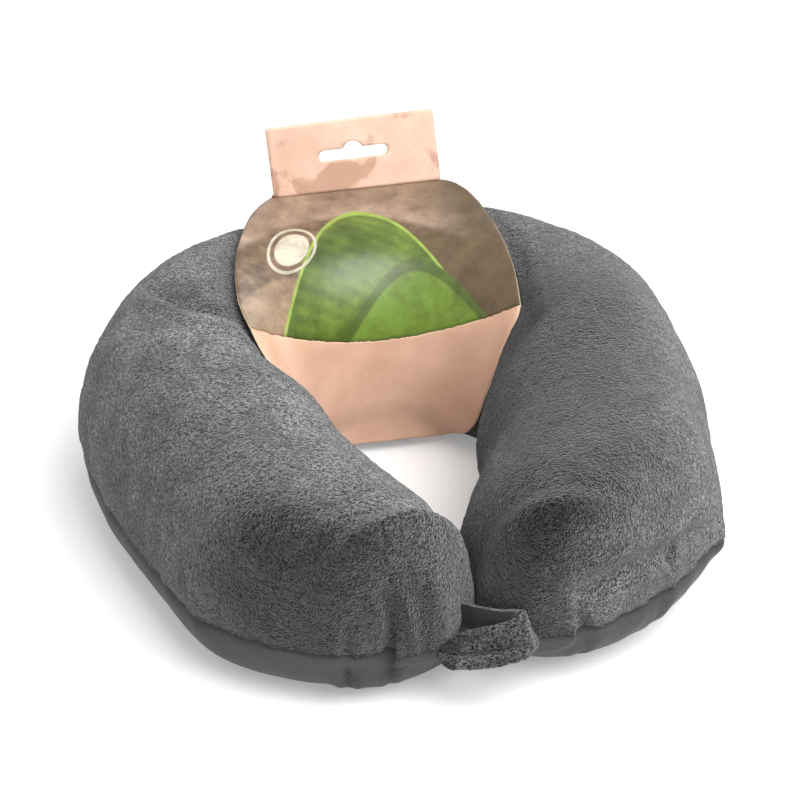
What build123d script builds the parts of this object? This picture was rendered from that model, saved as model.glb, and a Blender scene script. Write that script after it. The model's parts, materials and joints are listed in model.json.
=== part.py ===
from build123d import *
import os
from math import atan2, cos, hypot, radians, sin

# U shaped neck pillow in a cardboard hang sleeve. Millimetres, +Z up, +Y towards the back of the pillow,
# -Y towards the open ends of its arms. Everything is drawn about the middle of the neck opening and the
# floor, and moved at the end so that the origin is under the middle of the whole.

# The tube, which is the stuffed pillow's cross-section
NECK_RADIUS = 45.0  # inner wall of the back, from the middle of the neck opening
TUBE_WIDTH = 94.0
TUBE_HEIGHT = 99.0
SEAM_HEIGHT = 33.0  # where the plush upper cover is sewn to the smooth lower one
FLOOR_SINK = 4.0  # how far the round section would dip below the floor that flattens it
TOP_FULLNESS = 2.3  # superellipse exponents of the section, above and below the seam
LOW_FULLNESS = 2.2
BACK_HALF_ANGLE = 70.0  # the back is an even ring this far to each side, then the arms begin

# Fabric layers and what is in them
COVER_THICKNESS = 1.5
LINER_THICKNESS = 0.6
LAYER_GAP = 0.8

# Ribs across the arm, from the back to the tip: distance of the inner end from the middle line, how far
# that end is forward of the neck's middle, length as a share of the tube's width, how far the outer end
# is raked forward in degrees, and the share of the tube's height.
ARM_LEAD_ANGLE = 8.0  # one rib more of the ring's own shape, so that the arm leaves it smoothly
ARM_RIBS = (
    (40.0, 2.0, 1.01, 0.0, 1.00),
    (34.0, 18.0, 1.04, 6.0, 1.00),
    (24.0, 48.0, 1.06, 7.0, 0.99),
    (8.5, 76.0, 1.11, 10.0, 0.96),
    (1.2, 92.0, 1.02, 10.0, 0.94),
    (1.4, 106.0, 0.80, 9.0, 0.87),
    (4.0, 120.0, 0.50, 6.0, 0.73),
    (13.0, 129.5, 0.27, 0.0, 0.48),
)
HINGE_RIB = 1  # the rib at which the arm bends

# Where an arm bends: a round knuckle on the arm turns in a hollow in the back
KNUCKLE_RADIUS = 27.0
BEND_GAP = 0.5
ARM_SPREAD = 30.0

# Cardboard sleeve round the back, with its hanging header
CARD_THICKNESS = 0.6
CARD_GAP = 0.4
CARD_SLACK = 0.3  # it stands this much further off where it runs straight across the back
SLEEVE_TURN = -4.5  # the sleeve sits a little round towards the right arm
HEADER_WIDTH = 78.0
HEADER_HEIGHT = 33.0
HEADER_LEAN = 18.0
HEADER_CORNER = 2.0
RIDGE_RADIUS = 112.0  # the crease under the header, from the neck's middle
RIDGE_RISE = 4.0  # and above the top of the tube
WING_HALF_WIDTH = 57.0
WING_FORWARD = 66.0  # where the printed face is widest, from the neck's middle
CREASE_HALF_WIDTH = 58.0
CREASE_LOW = (44.0, 62.0)  # the crease across the face: distance back and height at its middle
CREASE_HIGH = (27.0, 85.0)  # and at its ends
FOLD_HALF_WIDTH = 28.0  # the fold at the foot of the inner panel
FOLD_HEIGHT = 6.0
REAR_FOOT_HALF_WIDTH = 34.0

# Hang hole in the header
SLOT_LENGTH = 32.0
SLOT_WIDTH = 5.5
SLOT_BUMP_RADIUS = 4.5
SLOT_BUMP_RISE = 1.375  # the bump's middle above the slot's
SLOT_DROP = 15.0  # its middle below the header's top edge

# Plush loop on the tip of the left arm
LOOP_LENGTH = 37.0
LOOP_STRAP_WIDTH = 14.0
LOOP_STRAP_THICKNESS = 2.0
LOOP_OPENING = 7.0
LOOP_TURN = 14.0  # it points forward of the line across the tips
LOOP_ROOT = 14.0  # the middle of its sewn end, from the middle line
LOOP_GAP = 0.3

REACH = 400.0  # longer than anything here, for the blocks that trim a shape
STEPS = 6  # spline points along a quarter of the section

TUBE_RADIUS = NECK_RADIUS + TUBE_WIDTH / 2
BACK_LIFT = CARD_THICKNESS + CARD_GAP  # the back rests on the sleeve's under panel


def quarter(half_width, height, fullness):
    """A quarter superellipse from (half_width, 0) to (0, height), as points."""
    turns = [radians(90.0 * step / STEPS) for step in range(STEPS + 1)]
    power = 2.0 / fullness
    return [(half_width * cos(t) ** power, height * sin(t) ** power) for t in turns[:-1]] + [(0.0, height)]


def section_face(half_width, rise, sink):
    """The tube's section about its seam line: round above, rather flatter below."""
    above = quarter(half_width, rise, TOP_FULLNESS)
    below = [(x, -z) for x, z in quarter(half_width, sink, LOW_FULLNESS)]
    upper = above + [(-x, z) for x, z in reversed(above[:-1])]
    lower = below + [(-x, z) for x, z in reversed(below[:-1])]
    return make_face([Spline(*upper).edge(), Spline(*lower).edge()])


def rib_face(inner, outer, share, inset):
    """One section standing on the floor plan between two points, smaller by an inset all round."""
    reach = Vector(outer[0] - inner[0], outer[1] - inner[1], 0)
    middle = Vector((inner[0] + outer[0]) / 2, (inner[1] + outer[1]) / 2, SEAM_HEIGHT)
    plane = Plane(origin=middle, x_dir=reach.normalized(), z_dir=reach.normalized().cross(Vector(0, 0, 1)))
    rise = (TUBE_HEIGHT - SEAM_HEIGHT) * share - inset
    sink = (SEAM_HEIGHT + FLOOR_SINK) * share - inset
    return plane * section_face(reach.length / 2, rise, sink)


def on_ring(radius, angle):
    """A point of the back's ring, at an angle from straight back towards the right arm."""
    return (radius * sin(radians(angle)), radius * cos(radians(angle)))


def arm_plan():
    """Inner and outer ends of all ribs of the right arm, from the ring to the tip, and their heights."""
    inner, outer, shares = [], [], []
    for angle in (BACK_HALF_ANGLE, BACK_HALF_ANGLE + ARM_LEAD_ANGLE):
        inner.append(on_ring(NECK_RADIUS, angle))
        outer.append(on_ring(NECK_RADIUS + TUBE_WIDTH, angle))
        shares.append(1.0)
    for aside, forward, length, rake, share in ARM_RIBS:
        along = length * TUBE_WIDTH
        inner.append((aside, -forward))
        outer.append((aside + along * cos(radians(rake)), -forward - along * sin(radians(rake))))
        shares.append(share)
    return inner, outer, shares


def inset_plan(inner, outer, inset):
    """The arm's plan with each outline point moved in, square to the line between its neighbours."""
    around = list(inner) + list(reversed(outer))
    moved = []
    for index, (x, y) in enumerate(around):
        before = around[max(index - 1, 0)]
        after = around[min(index + 1, len(around) - 1)]
        dx, dy = after[0] - before[0], after[1] - before[1]
        size = hypot(dx, dy)
        moved.append((x - inset * dy / size, y + inset * dx / size))
    count = len(inner)
    moved[0] = on_ring(NECK_RADIUS + inset, BACK_HALF_ANGLE)
    moved[-1] = on_ring(NECK_RADIUS + TUBE_WIDTH - inset, BACK_HALF_ANGLE)
    return moved[:count], list(reversed(moved[count:]))


def above_floor(shape, floor):
    """Flatten a shape at the height of the floor below it."""
    return shape - Pos(0, 0, floor - REACH / 2) * Box(2 * REACH, 2 * REACH, REACH)


def limb(inset):
    """The right arm, lofted through its ribs from the ring to the tip."""
    inner, outer, shares = arm_plan()
    inner, outer = inset_plan(inner, outer, inset)
    ribs = [rib_face(a, b, share, inset) for a, b, share in zip(inner, outer, shares)]
    return loft(ribs)


def ring(inset, half_angle):
    """The back of the tube as an even ring about the neck's middle."""
    rise = TUBE_HEIGHT - SEAM_HEIGHT - inset
    sink = SEAM_HEIGHT + FLOOR_SINK - inset
    face = Pos(TUBE_RADIUS, SEAM_HEIGHT) * section_face(TUBE_WIDTH / 2 - inset, rise, sink)
    turned = Rot(0, 0, 90.0 - half_angle) * (Plane.XZ * face)
    return revolve(turned, axis=Axis.Z, revolution_arc=2 * half_angle)


def hinge_line():
    """The bend of the right arm: its axis on the floor plan and its rib's direction outwards."""
    inner, outer, shares = arm_plan()
    index = len(inner) - len(ARM_RIBS) + HINGE_RIB
    reach = Vector(outer[index][0] - inner[index][0], outer[index][1] - inner[index][1], 0).normalized()
    return Vector(*outer[index], 0) - reach * KNUCKLE_RADIUS, reach


def arm_zone(grow, spread):
    """What belongs to the right arm on plan: all forward of the bend, its knuckle and its outward swing."""
    axis, reach = hinge_line()
    place = Plane(origin=axis, x_dir=reach, z_dir=Vector(0, 0, 1))
    forward = Pos(0, grow - REACH / 2) * Rectangle(2 * REACH, REACH)
    zone = place * (forward + Circle(KNUCKLE_RADIUS + grow))
    if spread > 0:
        swing = place * Polygon((0, 0), (REACH, 0), (REACH * cos(radians(spread)), REACH * sin(radians(spread))),
                                align=None)
        zone = zone + swing
    zone = zone & Pos(REACH / 2, 0) * Rectangle(REACH, 2 * REACH)
    return Pos(0, 0, -REACH / 2) * extrude(zone, REACH)


def seam_split(shell):
    """Upper and lower halves of a cover, which meet at the seam."""
    block = Box(2 * REACH, 2 * REACH, REACH)
    return shell - Pos(0, 0, SEAM_HEIGHT - REACH / 2) * block, shell - Pos(0, 0, SEAM_HEIGHT + REACH / 2) * block


def layers():
    """Insets of the five skins that bound the cover, the liner and the filling."""
    liner = COVER_THICKNESS + LAYER_GAP
    filling = liner + LINER_THICKNESS + LAYER_GAP
    return 0.0, COVER_THICKNESS, liner, liner + LINER_THICKNESS, filling


def stuffed(skins):
    """Cover halves, liner and filling from five nested solids, outermost first."""
    outside, lining, liner, inside, filling = skins
    top, bottom = seam_split(outside - lining)
    return {"top_cover": top, "bottom_cover": bottom, "liner": liner - inside, "bead_fill": filling}


def pillow():
    """The three stretches of the pillow, each with its cover, liner and filling."""
    arm_skins, back_skins = [], []
    own_zone = arm_zone(0.0, 0.0)
    kept_clear = arm_zone(BEND_GAP, ARM_SPREAD)
    for inset in layers():
        side = limb(inset)
        arm_skins.append(above_floor(side & own_zone, inset))
        stump = side - kept_clear
        back = ring(inset, BACK_HALF_ANGLE) + stump + mirror(stump, Plane.YZ)
        back_skins.append(above_floor(back, BACK_LIFT + inset))
    nodes = {}
    for name, piece in stuffed(arm_skins).items():
        nodes[name + "_right"] = piece
        nodes[name + "_left"] = mirror(piece, Plane.YZ)
    for name, piece in stuffed(back_skins).items():
        nodes[name + "_back"] = piece
    return nodes


def ridge_tent(half_width, rise, ridge_height):
    """The card's run over the top of the tube to the header crease and down the back, seen from the side."""
    ridge = (RIDGE_RADIUS - TUBE_RADIUS, ridge_height)
    power = 2 / TOP_FULLNESS
    curve = [(half_width * cos(radians(t)) ** power, rise * sin(radians(t)) ** power) for t in range(1, 90)]
    rear_touch = max(curve, key=lambda p: atan2(p[0] - ridge[0], ridge[1] - p[1]))
    return Polygon((0, 0), rear_touch, ridge, (0, rise), align=None)


def card_core(grow):
    """What the sleeve is wrapped round: the ring in front, and straight across the back."""
    wrapped = ring(-CARD_GAP - grow, BACK_HALF_ANGLE)
    off = CARD_GAP + CARD_SLACK + grow
    half_width = TUBE_WIDTH / 2 + off
    rise = TUBE_HEIGHT - SEAM_HEIGHT + off
    section = section_face(half_width, rise, SEAM_HEIGHT + FLOOR_SINK + off)
    rear_half = Pos(REACH / 2, 0) * Rectangle(REACH, 2 * REACH)
    tent = ridge_tent(half_width, rise, TUBE_HEIGHT - SEAM_HEIGHT + RIDGE_RISE + grow)
    rear = Pos(TUBE_RADIUS, SEAM_HEIGHT) * ((section + tent) & rear_half)
    straight = extrude(Plane.YZ * rear, HEADER_WIDTH / 2, both=True)
    return above_floor(wrapped + straight, CARD_THICKNESS - grow)


def plan_prism(points):
    """A block with the given plan, mirrored across the middle line, through all heights."""
    outline = list(points) + [(-x, y) for x, y in reversed(points)]
    return extrude(Polygon(*outline, align=None), REACH, both=True)


def front_prism(points):
    """A block with the given outline seen from the front, mirrored across the middle line."""
    outline = list(points) + [(-x, z) for x, z in reversed(points)]
    return extrude(Plane.XZ * Polygon(*outline, align=None), REACH, both=True)


def crease_block():
    """All that lies behind and above the sloping crease across the sleeve's face."""
    slope = (CREASE_HIGH[0] - CREASE_LOW[0], CREASE_HIGH[1] - CREASE_LOW[1])
    size = hypot(*slope)
    along = (slope[0] / size, slope[1] / size)
    corners = [(CREASE_LOW[0] + along[0] * s, CREASE_LOW[1] + along[1] * s) for s in (-REACH, REACH)]
    behind = [(y + REACH * along[1], z - REACH * along[0]) for y, z in reversed(corners)]
    return extrude(Plane.YZ * Polygon(*corners, *behind, align=None), REACH, both=True)


def sleeve():
    """The four panels of the sleeve, cut from one wrap of card at its creases."""
    wrap = card_core(CARD_THICKNESS) - card_core(0.0)
    behind = crease_block()
    block = Box(2 * REACH, 2 * REACH, REACH)
    low = Pos(0, 0, FOLD_HEIGHT - REACH / 2) * block
    below_seam = Pos(0, 0, SEAM_HEIGHT - REACH / 2) * block
    rear = Pos(0, RIDGE_RADIUS + REACH, 0) * Box(2 * REACH, 2 * REACH, 2 * REACH)
    half_header = HEADER_WIDTH / 2
    face_plan = plan_prism([(half_header, RIDGE_RADIUS), (WING_HALF_WIDTH, WING_FORWARD),
                            (CREASE_HALF_WIDTH, CREASE_HIGH[0]), (CREASE_HALF_WIDTH, 0.0)])
    inner_front = front_prism([(FOLD_HALF_WIDTH, 0.0), (FOLD_HALF_WIDTH, FOLD_HEIGHT),
                               (CREASE_HALF_WIDTH, CREASE_HIGH[1])])
    rear_front = front_prism([(REAR_FOOT_HALF_WIDTH, 0.0), (half_header, SEAM_HEIGHT),
                              (half_header, TUBE_HEIGHT + 2 * RIDGE_RISE)])
    under_plan = plan_prism([(FOLD_HALF_WIDTH, 0.0), (FOLD_HALF_WIDTH, NECK_RADIUS),
                             (REAR_FOOT_HALF_WIDTH, TUBE_RADIUS), (REAR_FOOT_HALF_WIDTH, REACH)])
    return {
        "sleeve_face_panel": (wrap & behind & face_plan) - rear - below_seam,
        "sleeve_inner_panel": ((wrap - behind) & inner_front) - low,
        "sleeve_rear_panel": (wrap & rear & rear_front) - low,
        "sleeve_under_panel": wrap & low & under_plan,
    }


def hang_slot():
    """The hang hole: a long slot with a round bump above its middle."""
    return SlotOverall(SLOT_LENGTH, SLOT_WIDTH) + Pos(0, SLOT_BUMP_RISE) * Circle(SLOT_BUMP_RADIUS)


def header():
    """The two plies of the header, back to back, leaning on their crease."""
    ply = Pos(0, HEADER_HEIGHT / 2) * RectangleRounded(HEADER_WIDTH, HEADER_HEIGHT, HEADER_CORNER)
    ply = ply - Pos(0, HEADER_HEIGHT - SLOT_DROP) * hang_slot()
    front = extrude(Plane.XZ * ply, CARD_THICKNESS)
    rear = Pos(0, CARD_THICKNESS, 0) * front
    crest = TUBE_HEIGHT + RIDGE_RISE + CARD_THICKNESS + CARD_GAP
    stand = Pos(0, RIDGE_RADIUS, crest) * Rot(-HEADER_LEAN, 0, 0)
    return {"header_front_ply": stand * front, "header_rear_ply": stand * rear}


def closure_loop():
    """A doubled plush strap on the left arm's tip, standing on edge and open between its plies."""
    outside = LOOP_OPENING + 2 * LOOP_STRAP_THICKNESS
    plan = SlotOverall(LOOP_LENGTH, outside)
    plan = plan - SlotOverall(LOOP_LENGTH - 2 * LOOP_STRAP_THICKNESS, LOOP_OPENING)
    strap = extrude(Pos((LOOP_LENGTH - outside) / 2, 0) * plan, LOOP_STRAP_WIDTH)
    root = Pos(-LOOP_ROOT, -ARM_RIBS[-1][1] - LOOP_GAP - outside / 2, SEAM_HEIGHT - LOOP_STRAP_WIDTH / 2)
    return {"closure_loop": root * Rot(0, 0, -LOOP_TURN) * strap}


def build():
    """Every piece of the pillow and its sleeve by name, with the origin under the middle of the whole."""
    nodes = pillow()
    turn = Rot(0, 0, SLEEVE_TURN)
    nodes.update({name: turn * piece for name, piece in {**sleeve(), **header()}.items()})
    nodes.update(closure_loop())
    box = Compound(children=[Compound(piece.wrapped) for piece in nodes.values()]).bounding_box()
    middle = Pos(-box.center().X, -box.center().Y, 0)
    return {name: middle * piece for name, piece in nodes.items()}


os.makedirs("parts", exist_ok=True)
for name, piece in build().items():
    export_step(piece, "parts/" + name + ".step")
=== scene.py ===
import bpy
import json
import numpy as np
from math import cos, radians, sin
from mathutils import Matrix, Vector


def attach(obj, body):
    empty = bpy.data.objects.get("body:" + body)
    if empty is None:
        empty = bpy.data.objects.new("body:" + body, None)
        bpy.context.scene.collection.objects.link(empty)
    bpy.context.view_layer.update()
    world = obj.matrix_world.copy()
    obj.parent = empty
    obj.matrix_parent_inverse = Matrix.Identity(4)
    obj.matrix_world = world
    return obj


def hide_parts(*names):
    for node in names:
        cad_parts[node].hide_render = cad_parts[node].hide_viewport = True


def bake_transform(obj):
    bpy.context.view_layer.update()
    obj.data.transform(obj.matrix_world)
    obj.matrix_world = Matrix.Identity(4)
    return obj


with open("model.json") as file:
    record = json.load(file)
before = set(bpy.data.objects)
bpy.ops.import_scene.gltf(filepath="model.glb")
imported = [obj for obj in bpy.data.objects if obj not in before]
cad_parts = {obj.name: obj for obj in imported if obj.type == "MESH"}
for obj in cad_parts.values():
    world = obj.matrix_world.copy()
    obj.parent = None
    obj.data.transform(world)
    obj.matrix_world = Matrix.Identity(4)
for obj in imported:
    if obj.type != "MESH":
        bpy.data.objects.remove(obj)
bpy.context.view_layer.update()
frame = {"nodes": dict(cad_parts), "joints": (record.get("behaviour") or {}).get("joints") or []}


# --- Plush upper cover ---------------------------------------------------------------------------
# Two long panels of short grey velour, one to each side, sewn together under the cardboard sleeve and
# stuffed tight with small beads. The pile is brushed about, so it shows clumps and streaks. Its colour
# carries painted shade: darker where the cloth faces one way, in folds, at the seam and beside the card.

MM = 0.001
joint_at = {joint["name"]: np.array(joint["pos_m"]) / MM for joint in frame["joints"]}
neck_middle = joint_at["sleeve_slide_round"] * (1, 1, 0)  # all is drawn about this point, in millimetres

NECK_RADIUS = 45.0
TUBE_WIDTH = 94.0
SEAM_HEIGHT = 33.0
TUBE_RISE = 66.0  # above the seam
TUBE_SINK = 37.0  # below it, before the floor flattens it
TOP_FULLNESS = 2.3
LOW_FULLNESS = {"left": 2.25, "right": 2.1}

# The back's ribs by their angle from the middle line, and how much each side is stuffed out there.
BACK_RIB_ANGLES = (-14, 0, 14, 28, 42, 56, 70)
BACK_STUFFED_OUT = {"right": (0.5, 0.5, 0.5, 1.6, 3, 3.5, 2), "left": (0.5, 0.5, 0.5, 2.4, 4.5, 4, 2)}

# Ribs across each arm from the back to the tip: inner end's distance from the middle line, how far that
# end is forward, width, rake of the outer end in degrees, top, seam and lowest point above the floor.
ARM_RIBS = {
    "right": (
        (39.6, 2, 94, 0, 99.3, 33, -4), (32.8, 18, 98.2, 6, 98.6, 33, -4), (23.2, 48, 99, 7, 97.4, 33, -2.5),
        (6.0, 76, 107, 10, 95, 33, 0), (-1.2, 92, 97.5, 10.5, 93.7, 32, 2), (0.7, 106, 77.5, 12, 89.5, 31, 5),
        (3.8, 120, 49, 13, 80.5, 30, 12.5), (13, 130, 25, 6, 64.5, 29.5, 20)),
    "left": (
        (40.1, 2, 92.5, 0, 98.8, 33, -4), (34.5, 18, 93, 6, 98, 33, -3.5), (26, 48, 93, 7, 95.5, 33, -2.5),
        (11, 76, 96.5, 10, 92.5, 33, -1.5), (3.6, 92, 90.5, 8.5, 91, 32, 1), (2.8, 105, 74, 9, 88.5, 31, 4.5),
        (4.2, 119, 47, 9, 80.5, 30, 12.5), (13, 126, 25.5, 1, 64.5, 29.5, 20.5)),
}
NOSE_LENGTH = 3.5  # the rounded end beyond the last rib
NOSE_RIBS = 7
NOSE_TAPER = 0.7  # the last rib's width as a share of the first's
NOSE_POWER = 0.87
PLUSH_GRID = 0.85  # points over the cloth are about this far apart
PLUSH_GIRTH = 184.0  # over the top from seam to seam
SEAM_TUCK = 1.9  # how deep the stitching draws the seam in
SIDES = {"left": -1, "right": 1}


def through(knots, values, at):
    """A smooth curve through the values: cubic Hermite pieces whose slopes are those between neighbours."""
    slopes = np.gradient(values, knots, axis=0)
    i = np.clip(np.searchsorted(knots, at, side="right") - 1, 0, len(knots) - 2)
    h = (knots[i + 1] - knots[i])[:, None]
    f = (at - knots[i])[:, None] / h
    start, end = values[i], values[i + 1]
    return (start * (1 + 2 * f) * (1 - f) ** 2 + end * f * f * (3 - 2 * f)
            + h * slopes[i] * f * (1 - f) ** 2 - h * slopes[i + 1] * f * f * (1 - f))


def smooth_step(value, low, high):
    """0 below low, 1 above high, and 3t^2 - 2t^3 between."""
    t = np.clip((value - low) / (high - low), 0, 1)
    return t * t * (3 - 2 * t)


def rumple(points, spacing, seed):
    """Value noise from -1 to 1: hashed numbers on a cubic lattice, blended by smooth steps."""
    place = np.asarray(points) / spacing
    cell = np.floor(place).astype(np.int64)
    part = place - cell
    part = part * part * (3 - 2 * part)
    total = np.zeros(place.shape[:-1])
    for corner in range(8):
        bit = np.array([corner & 1, corner >> 1 & 1, corner >> 2 & 1])
        key = ((cell + bit) * np.array([73856093, 19349663, 83492791])).sum(-1) + seed * 7919
        key = (key ^ (key >> 13)) * 1274126177 & 0x7FFFFFFF
        key = (key ^ (key >> 15)) * 668265263 & 0x7FFFFFFF
        weight = np.where(bit, part, 1 - part).prod(-1)
        total += weight * ((key >> 7 & 0xFFFF) / 32767.5 - 1)
    return total


def layered(points, layers):
    """Noise in layers, each of a height, a spacing and a seed."""
    return sum(height * rumple(points, spacing, seed) for height, spacing, seed in layers)


def ribs_along(side, spacing):
    """Rows a spacing apart from the back to the nose: inner and outer end, rise, sink and seam height.

    Each is a smooth curve through the ribs. Beyond the last rib the row goes forward by a sine squared,
    while its height falls as a cosine to a power and its width shrinks with the same cosine.
    """
    turn = np.radians(BACK_RIB_ANGLES)
    outer = NECK_RADIUS + TUBE_WIDTH + np.array(BACK_STUFFED_OUT[side])
    same = np.ones(len(turn))
    ring = np.column_stack([NECK_RADIUS * np.sin(turn), NECK_RADIUS * np.cos(turn), outer * np.sin(turn),
                            outer * np.cos(turn), TUBE_RISE * same, TUBE_SINK * same, SEAM_HEIGHT * same])
    inner_x, forward, width, rake, top, seam, low = np.array(ARM_RIBS[side], float).T
    rake = np.radians(rake)
    arm = np.column_stack([inner_x, -forward, inner_x + width * np.cos(rake), -forward - width * np.sin(rake),
                           top - seam, seam - low, seam])
    ribs = np.vstack([ring, arm])
    middle = (ribs[:, :2] + ribs[:, 2:4]) / 2
    knots = np.concatenate([[0], np.cumsum(np.hypot(*np.diff(middle, axis=0).T))])
    knots -= knots[1]
    rows = through(knots, ribs, np.linspace(0, knots[-1], int(knots[-1] / spacing) + 1))
    close = np.cos(np.radians(np.linspace(0, 90, NOSE_RIBS + 1)[1:]))[:, None]
    end = np.repeat(rows[-1:], len(close), 0)
    centre = (end[:, :2] + end[:, 2:4]) / 2
    forward = np.array([0, -NOSE_LENGTH]) * (1 - close ** 2)
    taper = NOSE_TAPER + (1 - NOSE_TAPER) * close
    nose = np.column_stack([centre + (end[:, :2] - centre) * taper + forward,
                            centre + (end[:, 2:4] - centre) * taper + forward,
                            end[:, 4:6] * close ** NOSE_POWER, end[:, 6:]])
    return np.vstack([rows, nose])


def section_angles(half_width, height, fullness, count):
    """Angles round half a superellipse that divide its length evenly, from the outer seam to the inner."""
    fine = np.linspace(0, np.pi, 2001)
    power = 2 / fullness
    x = np.sign(np.cos(fine)) * np.abs(np.cos(fine)) ** power * half_width
    z = np.sin(fine) ** power * height
    length = np.concatenate([[0], np.cumsum(np.hypot(np.diff(x), np.diff(z)))])
    return np.interp(np.linspace(0, length[-1], count), length, fine)


def tube_half(side, rows, angles, above):
    """Grid of the tube above or below its seam: superellipses stood on the rows' inner and outer ends."""
    fullness = TOP_FULLNESS if above else LOW_FULLNESS[side]
    across = np.sign(np.cos(angles)) * np.abs(np.cos(angles)) ** (2 / fullness)
    up = np.sin(angles) ** (2 / fullness)
    inner, outer = rows[:, None, :2], rows[:, None, 2:4]
    plan = (inner + outer) / 2 + (outer - inner) / 2 * across[None, :, None]
    height = rows[:, 4, None] * up if above else -rows[:, 5, None] * up
    return np.dstack([plan * (SIDES[side], 1), rows[:, 6, None] + height])


def outward(grid, sign):
    """Unit normals of a grid from the cross product of its two directions."""
    normal = np.cross(np.gradient(grid, axis=0), np.gradient(grid, axis=1)) * sign
    return normal / np.maximum(np.linalg.norm(normal, axis=-1, keepdims=True), 1e-9)


def seam_distances(grid):
    """Distance of each grid point from the outer and the inner seam, measured over the cloth."""
    step = np.linalg.norm(np.diff(grid, axis=1), axis=-1)
    from_outer = np.concatenate([np.zeros((len(grid), 1)), np.cumsum(step, axis=1)], axis=1)
    return from_outer, from_outer[:, -1:] - from_outer


def to_edge(grid, distances):
    """Distance of each grid point from the nearest edge of its cloth: a seam, or the end of the nose."""
    return np.minimum(np.minimum(*distances), np.linalg.norm(grid - grid[-1:], axis=-1))


def off_line(points, line):
    """Distance of each point from a line of corners, its side of it on plan, and how far along it is."""
    ends = np.array(line, float)
    nearest, side_of, along = (np.full(points.shape[:-1], v) for v in (1e9, 1.0, 0.0))
    for index, (a, b) in enumerate(zip(ends[:-1], ends[1:])):
        share = np.clip(((points - a) @ (b - a)) / ((b - a) @ (b - a)), 0, 1)
        gap = points - a - share[..., None] * (b - a)
        distance = np.linalg.norm(gap, axis=-1)
        nearer = distance < nearest
        nearest = np.where(nearer, distance, nearest)
        side_of = np.where(nearer, np.sign((b - a)[0] * gap[..., 1] - (b - a)[1] * gap[..., 0]), side_of)
        along = np.where(nearer, (index + share) / (len(ends) - 1), along)
    return nearest, side_of, along


def bell(value, width):
    """1 at zero, falling off to both sides as exp(-(value / width)^2)."""
    return np.exp(-(value / width) ** 2)


def groove(points, line, width, depth):
    """A crease along a line of points: a bell-shaped dip, a lip to each side, and shallower at its ends."""
    nearest, _, along = off_line(points, line)
    lip = 0.35 * bell(nearest - 1.9 * width, width)
    fade = 0.35 + 0.65 * np.sin(np.pi * np.clip(along, 0.05, 0.95))
    return depth * (lip - bell(nearest, width)) * fade


def overlap_fold(points, line, depth, reach, lip):
    """A fold that lies over its neighbour: a raised lip to the line's right, a pocket falling to its left.

    Returns the height, and how deep in shade each point is: most in the crease, and less over the pocket.
    """
    nearest, side_of, along = off_line(points, line)
    across = nearest * side_of
    pocket = smooth_step(across, -1.2, 2.2) * (1 - smooth_step(across, 2.2, reach))
    shade = bell(across - 1, 2) + 0.5 * smooth_step(across, -0.5, 1.5) * np.exp(-across / 9)
    begun = smooth_step(along, 0, 0.24)
    return (lip * bell(across + 3.5, 4.5) - depth * pocket) * begun, np.minimum(shade, 1) * begun


SLEEVE_TURN = -4.5  # degrees about the neck's middle, towards the right arm
# The card's half-width to each side, by share of the printed face's length from its crease to its ridge.
FACE_EDGE = {
    "left": np.array((
        (0, 61.5), (0.1, 63.5), (0.2, 64.8), (0.34, 64.2), (0.455, 62.5), (0.52, 60.8), (0.64, 56.3),
        (0.77, 51.2), (0.887, 45.6), (0.95, 42.3), (0.985, 40.4), (1, 39.3))),
    "right": np.array((
        (0, 57.3), (0.12, 58.1), (0.24, 58.5), (0.39, 58.2), (0.56, 57), (0.73, 53.8), (0.85, 50),
        (0.94, 45.6), (0.98, 42.2), (1, 39.3))),
}
# How far back each share of the face lies at its edge.
FACE_BACK = np.array((
    (0, 20), (0.12, 30), (0.22, 38.5), (0.34, 48), (0.455, 59), (0.56, 70), (0.64, 80), (0.75, 91.5),
    (0.89, 104.5), (1, 112)))
# The card's half-width on the neck's inner wall, by height above the floor.
WALL_EDGE = np.array((
    (6, 28), (7, 31.5), (8.5, 34), (12, 36.5), (24, 38.5), (36.5, 40.5), (44, 41.6), (55.5, 44.4),
    (71, 50.3), (80, 54.8), (88, 59.5)))


def face_edge(x, share):
    """Half-width of the printed face on the side that x lies on."""
    return np.where(x < 0, np.interp(share, *FACE_EDGE["left"].T), np.interp(share, *FACE_EDGE["right"].T))


def wall_edge(x, height):
    """Half-width of the board on the inner wall; it meets the face's at the crease."""
    half = np.interp(height, *WALL_EDGE.T)
    return half + (face_edge(x, 0) - WALL_EDGE[-1, 1]) * smooth_step(height, 45, 88)


def beyond_card(points):
    """How far each point lies outside the sleeve's edges, in millimetres; negative under the card.

    It is the distance to the side of the sleeve's middle line, less the half-width there: the inner wall's
    nearer the neck and the face's over the top. In front of the neck's middle it grows with the way forward.
    """
    turn = radians(SLEEVE_TURN)
    x = points[..., 0] * cos(turn) + points[..., 1] * sin(turn)
    y = -points[..., 0] * sin(turn) + points[..., 1] * cos(turn)
    edge = face_edge(x, np.interp(y, *FACE_BACK.T[::-1]))
    on_wall = smooth_step(70 - np.hypot(x, y), 0, 14)
    edge = edge * (1 - on_wall) + wall_edge(x, points[..., 2]) * on_wall
    return np.abs(x) - edge + 1.2 * np.maximum(-y, 0)


BEAD_LUMPS = ((1.1, 46, 3), (0.6, 19, 4), (0.25, 9, 6))  # height, spacing and seed
ARM_SWELLING, BACK_SWELLING = 3.4, 0.6  # of the cloth beside the card
CARD_VALLEY = 2.4  # how deep the card's edge presses in
CARD_SQUEEZE = 0.9  # and how deep the whole card does
REAR_SLACK = 1.6  # the rear is held in, so that the sleeve can slide over it


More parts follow.
